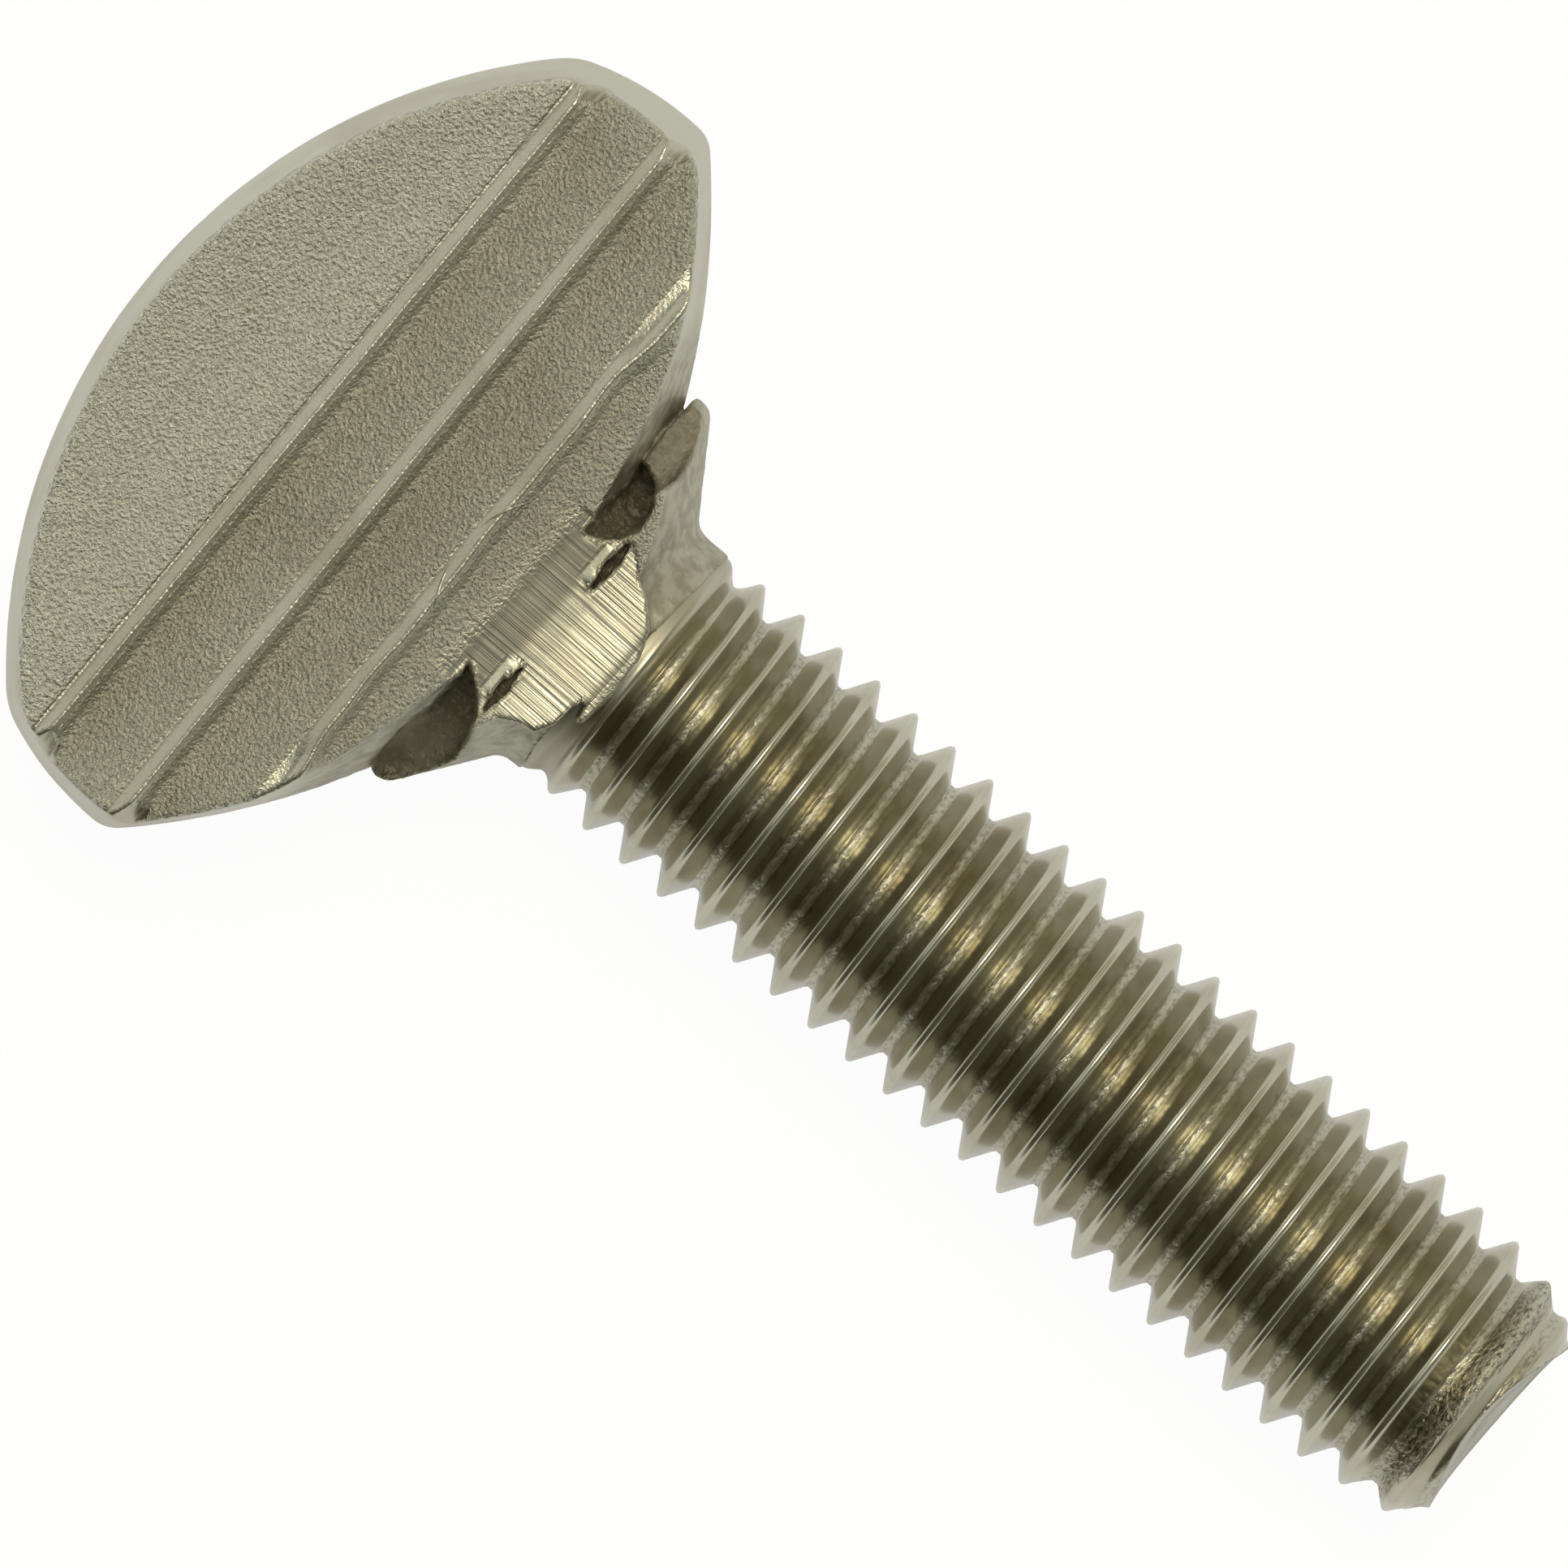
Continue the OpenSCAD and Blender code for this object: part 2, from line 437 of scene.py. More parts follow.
def fold_slot(x, y, z, middle):
    """One slot under a folded lip beside the pad: a lens 0.94 mm long and 0.34 mm deep."""
    lens = np.hypot(x - middle, (y - SLOT_Y) * 5.5) - 0.47
    floor = PAD_Z - 0.34 - np.abs(z)
    return soft_max(lens * 0.4, floor, 0.04)


def tear(x, y, z):
    """The gap under a torn flap on the front of the neck, a lens 1.3 mm long beside the pad's foot."""
    lens = np.hypot(x + 1.45, (y + 0.50 + 0.05 * x) * 7.0) - 0.66
    floor = NECK_R - 0.16 - np.hypot(x, z)
    return soft_max(soft_max(lens * 0.3, floor, 0.04), 0.5 - z, 0.04)


def lip_share(x, y, middle):
    """How far a folded lip stands up at a place: 1 at the slot, falling to 0 towards the head."""
    jagged = 0.015 * np.sin(23.0 * x) + 0.010 * np.sin(41.0 * x + 1.0)
    inner = middle - np.sign(middle) * 0.12
    width = fade(-np.abs(x - inner), -0.38, -0.34)
    return width * fade(y + jagged, 0.68, 0.71) * np.clip((0.95 - y) / 0.22, 0.0, 1.0)


def blade_parts(x, t, z):
    """Distances to the drafted walls and to the ribbed faces."""
    y = straight(x, t)
    height = np.where(z < 0, face_height(x, t, True), face_height(x, t, False)) - thumb_dish(x, y)
    for middle in SLOT_MIDDLES:
        height = height + LIP_RISE * lip_share(x, y, middle)
    return shield(x, y, z), np.abs(z) - height


def head_field(x, t, z):
    """Distance to the forged head, collar, pad and neck."""
    y = straight(x, t)
    wall, above = blade_parts(x, t, z)
    # A narrow facet breaks the edge between wall and face, and is wider beside the ribs' flanks
    facet = (wall + above + 0.02 + 0.30 * notch(t)) * math.sqrt(0.5)
    blade = soft_max(wall, facet, 0.03)
    ring = np.hypot(x, z)
    flare = (ring - NECK_R - FLARE_SLOPE * y) / math.hypot(1.0, FLARE_SLOPE)
    top = RIM_TOP - RIM_FALL * fade(np.abs(z), 1.3, 2.2)
    collar = soft_max(soft_max(flare, ring - RIM_R, 0.16), y - top, 0.10)
    end = NECK_FOOT - NECK_LEAN * x - y
    neck = soft_max(soft_max(ring - NECK_R - 0.005, y - 2.0, 0.05), end, 0.06)
    sides = soft_min(soft_min(blade, collar, 0.02), neck, 0.16)
    sides = soft_min(sides, outline_distance(x, y, PAD_OUTLINE), 0.02)
    # The dies press all of it flat to the height of the faces, a little lower at the pad's foot
    body = soft_max(sides, above + 0.07 * fade(-y, 0.35, 0.85), 0.03)
    body = soft_max(body, end - 0.3, 0.02)
    for side in (-1, 1):
        body = soft_max(body, -fold_pocket(x, y, z, side), 0.05)
    for middle in SLOT_MIDDLES:
        body = soft_max(body, -fold_slot(x, y, z, middle), 0.03)
    return soft_max(body, -tear(x, y, z), 0.03)


# Turning the distance field into a mesh


def spaced(*stretches):
    """Grid places over stretches of (start, end, spacing)."""
    values = []
    for start, end, spacing in stretches:
        count = max(1, round((end - start) / spacing))
        values.extend(np.linspace(start, end, count, endpoint=False))
    values.append(stretches[-1][1])
    return np.array(values)


def mirrored(places):
    """Places on both sides of zero."""
    return np.concatenate([-places[::-1], places[1:]])


def skin(field, axes):
    """Vertices and quads on the zero surface of a field over a grid.

    Each cell that the surface crosses gets one vertex, the mean of the crossings on its edges.
    """
    gx, gy, gz = axes
    values = field(gx[:, None, None], gy[None, :, None], gz[None, None, :])
    inside = values < 0
    shape = tuple(n - 1 for n in inside.shape)
    crossed = np.zeros(shape, np.int8)
    for i in (0, 1):
        for j in (0, 1):
            for k in (0, 1):
                crossed += inside[i : i + shape[0], j : j + shape[1], k : k + shape[2]]
    mixed = (crossed > 0) & (crossed < 8)
    index = np.full(shape, -1)
    index[mixed] = np.arange(mixed.sum())
    total = np.zeros((mixed.sum(), 3))
    hits = np.zeros(mixed.sum())
    quads = []
    for axis in range(3):
        near = np.moveaxis(inside, axis, 0)
        starts = np.argwhere(near[:-1] != near[1:])
        place = np.empty_like(starts)
        others = [a for a in range(3) if a != axis]
        place[:, axis] = starts[:, 0]
        place[:, others[0]] = starts[:, 1]
        place[:, others[1]] = starts[:, 2]
        ahead = place.copy()
        ahead[:, axis] += 1
        v0 = values[tuple(place.T)]
        v1 = values[tuple(ahead.T)]
        share = v0 / (v0 - v1)
        point = np.stack([axes[a][place[:, a]] for a in range(3)], 1)
        point[:, axis] += share * (axes[axis][ahead[:, axis]] - axes[axis][place[:, axis]])
        ring = []
        for p, q in ((0, 0), (-1, 0), (-1, -1), (0, -1)):
            cell = place.copy()
            cell[:, others[0]] += p
            cell[:, others[1]] += q
            good = np.all((cell >= 0) & (cell < np.array(shape)), axis=1)
            number = np.full(len(cell), -1)
            number[good] = index[tuple(cell[good].T)]
            np.add.at(total, number[good], point[good])
            np.add.at(hits, number[good], 1)
            ring.append(number)
        ring = np.stack(ring, 1)
        whole = np.all(ring >= 0, axis=1)
        # Quads are turned so that they face outwards
        turned = (v0 < 0) if axis != 1 else (v0 >= 0)
        ring[~turned] = ring[~turned][:, ::-1]
        quads.append(ring[whole])
    return total / hits[:, None], np.concatenate(quads)


def slope_of(field, points, step=0.004):
    """The field's value and gradient at points."""
    value = field(*points.T)
    gradient = np.empty_like(points)
    for a in range(3):
        offset = np.zeros(3)
        offset[a] = step
        gradient[:, a] = (field(*(points + offset).T) - field(*(points - offset).T)) / (2 * step)
    return value, gradient


def settle(field, points, reach):
    """Moves points onto the zero surface along the gradient, no further than reach."""
    start = points.copy()
    for _ in range(4):
        value, gradient = slope_of(field, points)
        length = np.maximum((gradient * gradient).sum(1), 0.05)
        points = points - 0.9 * (value / length)[:, None] * gradient
        moved = points - start
        far = np.maximum(np.linalg.norm(moved, axis=1) / reach, 1.0)
        points = start + moved / far[:, None]
    return points


def lumps(points, size, seed):
    """Smooth noise from -1 to 1 with lumps of that size in millimetres."""
    table = np.random.default_rng(seed).uniform(-1, 1, 4096)
    scaled = points / size
    base = np.floor(scaled).astype(np.int64)
    part = scaled - base
    part = part * part * (3 - 2 * part)
    total = np.zeros(len(points))
    for i in (0, 1):
        for j in (0, 1):
            for k in (0, 1):
                key = (base[:, 0] + i) * 7919 + (base[:, 1] + j) * 104729 + (base[:, 2] + k) * 1299709
                shares = np.abs(1 - np.array((i, j, k)) - part)
                total += table[key & 4095] * shares.prod(1)
    return total


def make_mesh(name, points, quads, marks):
    """A smooth-shaded mesh object from points in metres, with one float attribute for each mark."""
    mesh = bpy.data.meshes.new(name)
    mesh.vertices.add(len(points))
    mesh.vertices.foreach_set("co", points.ravel().astype(np.float32))
    mesh.loops.add(quads.size)
    mesh.loops.foreach_set("vertex_index", quads.ravel().astype(np.int32))
    mesh.polygons.add(len(quads))
    mesh.polygons.foreach_set("loop_start", np.arange(0, quads.size, 4, dtype=np.int32))
    mesh.update(calc_edges=True)
    mesh.validate()
    mesh.shade_smooth()
    for key, values in marks.items():
        attribute = mesh.attributes.new(key, "FLOAT", "POINT")
        attribute.data.foreach_set("value", np.asarray(values, np.float32))
    piece = bpy.data.objects.new(name, mesh)
    bpy.context.scene.collection.objects.link(piece)
    return piece


def finish_marks(points):
    """Where each finish shows on the head, from 0 to 1 at each point."""
    x, t, z = points.T
    y = straight(x, t)
    wall, above = blade_parts(x, t, z)
    on_face = fade(above, -0.07, -0.02)
    plan = outline_distance(x, y, PAD_OUTLINE)
    drawn = on_face * (1 - fade(y, 1.35, 2.0)) * (1 - fade(plan, -0.02, 0.04))
    # The ribs' crests and leads, and the lips beside the pad, were pressed bright
    pressed = np.zeros(len(x))
    smear = rib_smear(x, t) * (z > 0)
    for i in range(RIB_COUNT):
        d = t - rib_place(i) - smear
        band = fade(d, -0.09, -0.05) * (1 - fade(d, LEAD_RUN + 0.02, LEAD_RUN + 0.09))
        pressed = np.maximum(pressed, band)
    for middle in SLOT_MIDDLES:
        pressed = np.maximum(pressed, fade(lip_share(x, y, middle), 0.02, 0.12))
    # The folds, the tear and the slots are rough where the metal tore
    torn = np.zeros(len(x))
    for side in (-1, 1):
        inside = 1 - fade(fold_pocket(x, y, z, side), 0.0, 0.07)
        # The outer part of each fold is smoother
        smoother = 0.5 * fade(x, 2.3, 2.7) if side > 0 else 0.05 + 0.65 * fade(-x, 2.2, 3.1)
        torn = np.maximum(torn, inside * (1 - smoother))
    torn = np.maximum(torn, 1 - fade(tear(x, y, z), 0.0, 0.04))
    for middle in SLOT_MIDDLES:
        torn = np.maximum(torn, 1 - fade(fold_slot(x, y, z, middle), 0.0, 0.03))
    collar = (1 - on_face) * (1 - fade(y, 1.8, 2.4))
    grain = on_face * (1 - drawn) * (1 - 0.85 * pressed) * (1 - torn)
    drawn = drawn * (1 - torn) * (1 - pressed)
    return {"grain": grain, "drawn": drawn, "pressed": pressed * on_face, "torn": torn, "collar": collar}


class SCREW_OT_forge_head(bpy.types.Operator):
    """Forges the ribbed head with its folded collar, torn pad and plain neck"""

    bl_idname = "screw.forge_head"
    bl_label = "Forge the head"

    def execute(self, context):
        cell = context.scene.screw_head.cell / MM
        fine = 0.4 * cell
        # Cells are smallest across the ribs' crests and the lowest rib, and small at the rims and the folds
        axes = (
            mirrored(spaced((0.0, 4.3, cell), (4.3, 6.7, 1.7 * cell), (6.7, 7.62, 0.8 * cell))),
            spaced(
                (-0.95, 1.5, 0.7 * cell),
                (1.5, 1.95, 0.8 * cell),
                (1.95, 2.85, 1.2 * fine),
                (2.85, 3.62, 1.1 * cell),
                (3.62, 4.5, fine),
                (4.5, 5.3, 1.1 * cell),
                (5.3, 6.15, fine),
                (6.15, 8.6, 1.7 * cell),
                (8.6, 9.5, 0.8 * cell),
            ),
            mirrored(spaced((0.0, 1.1, 2.1 * cell), (1.1, 2.95, 0.8 * cell))),
        )
        points, quads = skin(head_field, axes)
        points = settle(head_field, points, 0.6 * cell)
        marks = finish_marks(points)
        _, gradient = slope_of(head_field, points)
        normal = gradient / np.maximum(np.linalg.norm(gradient, axis=1), 1e-6)[:, None]
        rough = 0.045 * marks["torn"] + 0.008 * marks["collar"]
        crumbs = lumps(points, 0.16, 3) + 0.6 * lumps(points, 0.07, 4)
        swell = rough * crumbs + 0.004 * lumps(points, 0.5, 5)
        points = points + swell[:, None] * normal
        x, t, z = points.T
        true = np.stack([x, straight(x, t) + FOOT_Y, z], 1) * MM
        piece = make_mesh("forged_head", true, quads, marks)
        piece.data.materials.append(forged_stainless())
        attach(piece, "root")
        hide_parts("thumb_screw")
        return {"FINISHED"}


# The rolled thread. Its lengths are metres, as Geometry Nodes take them

# Mesh rows in one pitch, and turns of mesh above the start of the full diameter
ROWS_A_PITCH = 16
LEAD_IN = 4
# Where each flank starts and ends, in mesh rows from the crest
FLANK_ROWS = (0.6, 6.7)
# Places down from the start of the full diameter: the mesh's top inside the neck, the crest's pass over
# the front, the stretch where the thread fades in, and the stretch where the neck swells to full size
TOP = -0.001
CREST_START = 0.00003
FADE_IN = (-0.00030, 0.00035)
SWELL = (-0.0006, 0.0016)
# Places up from the tip's lips: the shoulder, the bevel and both edges of the rough last turn
SHOULDER = (0.00215, 0.00045)
BEVEL = (0.00055, 0.0)
ROUGH_TOP = (0.0012, 0.0010)
ROUGH_FOOT = (0.00062, 0.00072)
# How far the neck, the shoulder and the seam along the crest lie below full size
NECK_DROP = 0.00014
SHOULDER_DROP = 0.000235
SEAM = 0.000005
# The thread fades in lower on one side of the neck
FADE_LEAN = 0.00013
# How far the tip is drawn in, and how much more for each metre towards the front
DRAWN_IN = 0.00022
DRAWN_LEAN = 0.081
# Length over which each end closes on the axis, and one turn's length in the pattern's own map
CLOSE = 0.0008
TURN_LENGTH = 0.015


def thread_tree(material):
    """Node group that winds a strip of mesh around the axis, crest by crest, into the threaded shank."""
    tree = bpy.data.node_groups.new("rolled_thread", "GeometryNodeTree")
    face = tree.interface
    face.new_socket("Geometry", in_out="OUTPUT", socket_type="NodeSocketGeometry")
    for name in ("Crest Diameter", "Root Diameter", "Pitch", "Length", "Lip Diameter"):
        face.new_socket(name, in_out="INPUT", socket_type="NodeSocketFloat").subtype = "DISTANCE"
    for name in ("Segments", "Rows"):
        face.new_socket(name, in_out="INPUT", socket_type="NodeSocketInt")
    new = partial(add, tree)
    given = new("NodeGroupInput").outputs
    columns = new(MATH, given["Segments"], 1.0, operation="ADD")
    last_row = new(MATH, given["Rows"], 1.0, operation="SUBTRACT")
    strip = {"Size X": 1.0, "Size Y": last_row, "Vertices X": columns, "Vertices Y": given["Rows"]}
    grid = new("GeometryNodeMeshGrid", strip)
    place = new("ShaderNodeSeparateXYZ", new("GeometryNodeInputPosition")).outputs
    turn = new(MATH, place[0], 0.5, operation="ADD")
    row = new(MATH, last_row, 0.5, place[1], operation="MULTIPLY_ADD")
    pitches = new(MATH, row, ROWS_A_PITCH, operation="DIVIDE")
    turns_down = new(MATH, pitches, turn, operation="ADD")

    # Distance down the shank from where the full diameter starts, and what is left of it to the lips. The
    # front is half a turn into each row
    wound = new(MATH, turns_down, LEAD_IN + 0.5, operation="SUBTRACT")
    down = new(MATH, wound, given["Pitch"], CREST_START, operation="MULTIPLY_ADD")
    left = new(MATH, given["Length"], down, operation="SUBTRACT")

    # The profile across one pitch: a crest with a shallow seam, two flanks and a root
    share = new(MATH, new(MATH, pitches, operation="FRACT"), 0.5, operation="PINGPONG")
    off = new(MATH, share, ROWS_A_PITCH, operation="MULTIPLY")
    sunk = new(RANGE, off, *FLANK_ROWS, 0.0, 1.0, interpolation_type="LINEAR")
    seam = new(RANGE, off, 0.0, 1.0, SEAM, 0.0, interpolation_type="LINEAR")

    # Where the thread fades in under the neck, and how the blank narrows to the tip
    side = new(MATH, new(MATH, turn, 2 * math.pi, operation="MULTIPLY"), operation="SINE")
    leaning = new(MATH, side, -FADE_LEAN, down, operation="MULTIPLY_ADD")
    cut = new(RANGE, leaning, *FADE_IN, 0.0, 1.0)
    crest = new(MATH, given["Crest Diameter"], 0.5, operation="MULTIPLY")
    neck = new(RANGE, down, *SWELL, -NECK_DROP, 0.0)
    shoulder = new(RANGE, left, *SHOULDER, 0.0, -SHOULDER_DROP)
    lip = new(MATH, given["Lip Diameter"], 0.5, operation="MULTIPLY")
    narrowed = new(MATH, crest, SHOULDER_DROP, operation="SUBTRACT")
    bevel_depth = new(MATH, lip, narrowed, operation="SUBTRACT")
    outer = new(MATH, new(MATH, crest, neck, operation="ADD"), shoulder, operation="ADD")
    outer = new(MATH, bevel_depth, new(RANGE, left, *BEVEL, 0.0, 1.0), outer, operation="MULTIPLY_ADD")
    bottom = new(MATH, given["Root Diameter"], 0.5, operation="MULTIPLY")
    depth = new(MATH, outer, new(MATH, bottom, outer, operation="MINIMUM"), operation="SUBTRACT")
    depth = new(MATH, depth, sunk, seam, operation="MULTIPLY_ADD")
    radius = new(MATH, outer, new(MATH, depth, cut, operation="MULTIPLY"), operation="SUBTRACT")

    # Both ends close on the axis
    past_tip = new(MATH, left, -CLOSE, operation="DIVIDE")
    past_top = new(MATH, new(MATH, TOP, down, operation="SUBTRACT"), CLOSE, operation="DIVIDE")
    past = new(MATH, past_tip, past_top, operation="MAXIMUM")
    opened = new(RANGE, past, 0.0, 1.0, 1.0, 0.0, interpolation_type="LINEAR")
    radius = new(MATH, radius, opened, operation="MULTIPLY")
    angle = new(MATH, turn, -2 * math.pi, math.pi, operation="MULTIPLY_ADD")
    x = new(MATH, radius, new(MATH, angle, operation="SINE"), operation="MULTIPLY")
    z = new(MATH, radius, new(MATH, angle, operation="COSINE"), operation="MULTIPLY")

    # Rolling leaves the tip drawn in between two lips, more on the front than on the back
    draw = new(MATH, new(MATH, z, DRAWN_LEAN, DRAWN_IN, operation="MULTIPLY_ADD"), 0.0, operation="MAXIMUM")
    across = new(MATH, x, lip, operation="DIVIDE")
    square = new(MATH, across, across, operation="MULTIPLY")
    bow = new(MATH, new(MATH, 1.0, square, operation="SUBTRACT"), 0.0, operation="MAXIMUM")
    end = new(MATH, given["Length"], new(MATH, draw, bow, operation="MULTIPLY"), operation="SUBTRACT")
    y = new(MATH, new(MATH, down, end, operation="MINIMUM"), TOP, operation="MAXIMUM")
    spot = new("ShaderNodeCombineXYZ", x, new(MATH, y, -1.0, operation="MULTIPLY"), z)

    # What the material needs: how deep a point is in the groove, and its place along and across the thread
    groove = new(MATH, sunk, cut, operation="MULTIPLY")
    end_face = new(RANGE, new(MATH, down, end, operation="SUBTRACT"), 0.0, 0.00004, 0.0, 1.0)
    rough_top = new(RANGE, left, *ROUGH_TOP, 0.0, 1.0)
    rough_turn = new(MATH, rough_top, new(RANGE, left, *ROUGH_FOOT, 0.0, 1.0), operation="MULTIPLY")
    along = new(MATH, turns_down, TURN_LENGTH, operation="MULTIPLY")
    lay = new("ShaderNodeCombineXYZ", along, new(MATH, pitches, given["Pitch"], operation="MULTIPLY"))
    made = grid
    for name, value, kind, domain in (
        ("groove", groove, "FLOAT", "POINT"),
        ("end_face", end_face, "FLOAT", "POINT"),
        ("rough_turn", rough_turn, "FLOAT", "POINT"),
        ("lay", lay, "FLOAT2", "CORNER"),
    ):
        stored = {"Geometry": made, "Name": name, "Value": value}
        made = new("GeometryNodeStoreNamedAttribute", stored, data_type=kind, domain=domain)
    # The places are worked out on the flat grid, so it is wound up after its marks are stored
    made = new("GeometryNodeSetPosition", {"Geometry": made, "Position": spot})
    made = new("GeometryNodeMergeByDistance", {"Geometry": made, "Distance": 0.000001})
    made = new("GeometryNodeSetShadeSmooth", {"Geometry": made, "Shade Smooth": True})
    made = new("GeometryNodeRealizeInstances", {"Geometry": made})
    made = new("GeometryNodeSetMaterial", {"Geometry": made, "Material": material})
    new("NodeGroupOutput", made)
    return tree


class SCREW_OT_roll_thread(bpy.types.Operator):
    """Rolls the threaded shank with its run-out and drawn-in tip"""

    bl_idname = "screw.roll_thread"
    bl_label = "Roll the thread"

    def execute(self, context):
        sizes = context.scene.screw_thread
        turns = (sizes.length + CLOSE) / sizes.pitch + LEAD_IN + 0.5
        values = {
            "Crest Diameter": sizes.crest_diameter,
            "Root Diameter": sizes.root_diameter,
            "Pitch": sizes.pitch,
            "Length": sizes.length,
            "Lip Diameter": sizes.lip_diameter,
            "Segments": sizes.segments,
            "Rows": math.ceil(turns * ROWS_A_PITCH) + 2,
        }
        blank = bpy.data.objects.new("thread_blank", bpy.data.meshes.new("thread_blank"))
        context.scene.collection.objects.link(blank)
        tree = thread_tree(rolled_stainless())
        maker = blank.modifiers.new("Thread", "NODES")
        maker.node_group = tree
        for item in tree.interface.items_tree:
            if item.in_out == "INPUT":
                maker[item.identifier] = values[item.name]
        graph = context.evaluated_depsgraph_get()
        mesh = bpy.data.meshes.new_from_object(blank.evaluated_get(graph))
        mesh.name = "rolled_thread"
        blank.modifiers.remove(maker)
        bpy.data.objects.remove(blank)
        piece = bpy.data.objects.new("rolled_thread", mesh)
        context.scene.collection.objects.link(piece)
        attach(piece, "root")
        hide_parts("thumb_screw")
        return {"FINISHED"}


# Finishes

# The ring that a round tool left, in metres
RING_CENTRE = (-0.0001, 0.00141, 0.0)
RING_R = 0.002


def fresh(name):
    """An empty material with nodes."""
    material = bpy.data.materials.new(name)
    material.use_nodes = True
    material.node_tree.nodes.clear()
    return material


def grains(tree, place, size_mm, detail=2.0, stretch=(1.0, 1.0, 1.0)):
    """Noise around 0.5 with grains of that size, stretched along the axes."""
    scale = [1 / (size_mm * MM * along) for along in stretch]
    scaled = add(tree, "ShaderNodeMapping", {"Vector": place, "Scale": scale})
    inputs = {"Vector": scaled, "Scale": 1.0, "Detail": detail, "Roughness": 0.55}
    return add(tree, "ShaderNodeTexNoise", inputs)


def steel_shader(tree, colour, roughness, height):
    """The metal surface itself. The relief is in metres."""
    relief = add(tree, "ShaderNodeBump", {"Strength": 1.0, "Distance": 1.0, "Height": height})
    inputs = {"Base Color": colour, "Metallic": 1.0, "Roughness": roughness, "Normal": relief}
    add(tree, "ShaderNodeOutputMaterial", add(tree, "ShaderNodeBsdfPrincipled", inputs))


def forged_stainless():
    """Stainless steel, forged in blasted dies: sparkling faces, satin walls, a drawn pad and torn folds."""
    finish = bpy.context.scene.screw_finish
    material = fresh("forged_stainless")
    tree = material.node_tree
    new = partial(add, tree)
    place = new("ShaderNodeTexCoord").outputs["Object"]
    grain, drawn, pressed, torn, collar = (
        new("ShaderNodeAttribute", attribute_name=name).outputs["Fac"]
        for name in ("grain", "drawn", "pressed", "torn", "collar")
    )

    # The dies' blasting is printed as grains about 0.06 mm wide
    pits = grains(tree, place, 0.062, 3.0)
    coarse = grains(tree, place, 0.28)
    # Drawing left streaks about 0.05 mm wide that run along the screw
    streaks = grains(tree, place, 0.05, 3.0, (1.0, 90.0, 90.0))
    # A fracture has crumbs about 0.1 mm wide
    crumbs = grains(tree, place, 0.10, 3.0)
    # The walls keep a fine grain, drawn coarser than it is so that it shows
    fine = grains(tree, place, 0.05)
    clouds = grains(tree, place, 2.6, 3.0)

    # The ring is faint, and shows only on the front face, beside the lowest rib
    off = new(VECTOR, place, RING_CENTRE, operation="SUBTRACT")
    flat = new(VECTOR, off, (1.0, 1.0, 0.0), operation="MULTIPLY")
    reach = new(VECTOR, flat, operation="LENGTH").outputs["Value"]
    miss = new(MATH, new(MATH, reach, RING_R, operation="SUBTRACT"), operation="ABSOLUTE")
    _, y, z = new("ShaderNodeSeparateXYZ", place).outputs
    ring = product(
        tree,
        new(RANGE, miss, 0.0, 0.00002, 1.0, 0.0),
        new(RANGE, y, 0.00275, 0.0028, 0.0, 1.0),
        new(RANGE, y, 0.0034, 0.0033, 0.0, 1.0),
        new(MATH, z, 0.0, operation="GREATER_THAN"),
    )

    height = weigh(
        tree,
        0.0,
        (pits, grain, 0.000080),
        (coarse, grain, 0.000010),
        (streaks, drawn, 0.000020),
        (crumbs, torn, 0.000070),
        (coarse, collar, 0.000030),
        (fine, new(MATH, 1.0, drawn, operation="SUBTRACT"), 0.000003),
        (ring, 0.000012),
    )
    uneven, streaky = (
        new(MATH, new(MATH, noise, 0.5, operation="SUBTRACT"), share, operation="MULTIPLY")
        for noise, share in ((pits, grain), (streaks, drawn))
    )
    roughness = weigh(
        tree,
        0.38,
        (grain, -0.06),
        (drawn, -0.08),
        (pressed, -0.10),
        (torn, 0.24),
        (collar, 0.16),
        (uneven, 0.5),
        (streaky, 0.3),
    )
    # Clouds of stain over all, painted brown shade in the torn folds, slots and tear, painted light on the
    # top panel, painted shade in the deepest pits, blotches on the collar, and painted highlights on a few
    # ridges in the torn folds
    stain_and_hollow_shade = weigh(tree, new(RANGE, clouds, 0.42, 0.68, 0.0, 0.26), (torn, 0.50), (streaky, 0.6))
    # The top panel, which a later coat paints lighter as painted light
    upper = new(RANGE, y, 0.0062, 0.0067, 0.0, 1.0)
    colour = layered(
        tree,
        tuple(finish.steel),
        (tuple(finish.stain_and_shade), stain_and_hollow_shade),
        # Painted shade: dark brown over the torn folds, slots and tear
        (srgb("#3a3226"), torn, 0.35),
        # The blasted faces' own lighter tone, and painted light on the top panel
        (srgb("#e9e9dd"), new(MATH, upper, 0.7, 0.3, operation="MULTIPLY_ADD"), grain),
        # Painted shade in the deepest pits of the blasted grain
        (srgb("#57544a"), new(RANGE, pits, 0.54, 0.34, 0.0, 0.2), grain),
        (srgb("#8d897b"), new(RANGE, coarse, 0.36, 0.64, 0.15, 0.6), collar),
        # Painted highlights on the crumbs' ridges in the torn folds
        (srgb("#c9c3ae"), new(RANGE, crumbs, 0.52, 0.62, 0.0, 0.45), torn),
    )
    steel_shader(tree, colour, roughness, height)
    return material


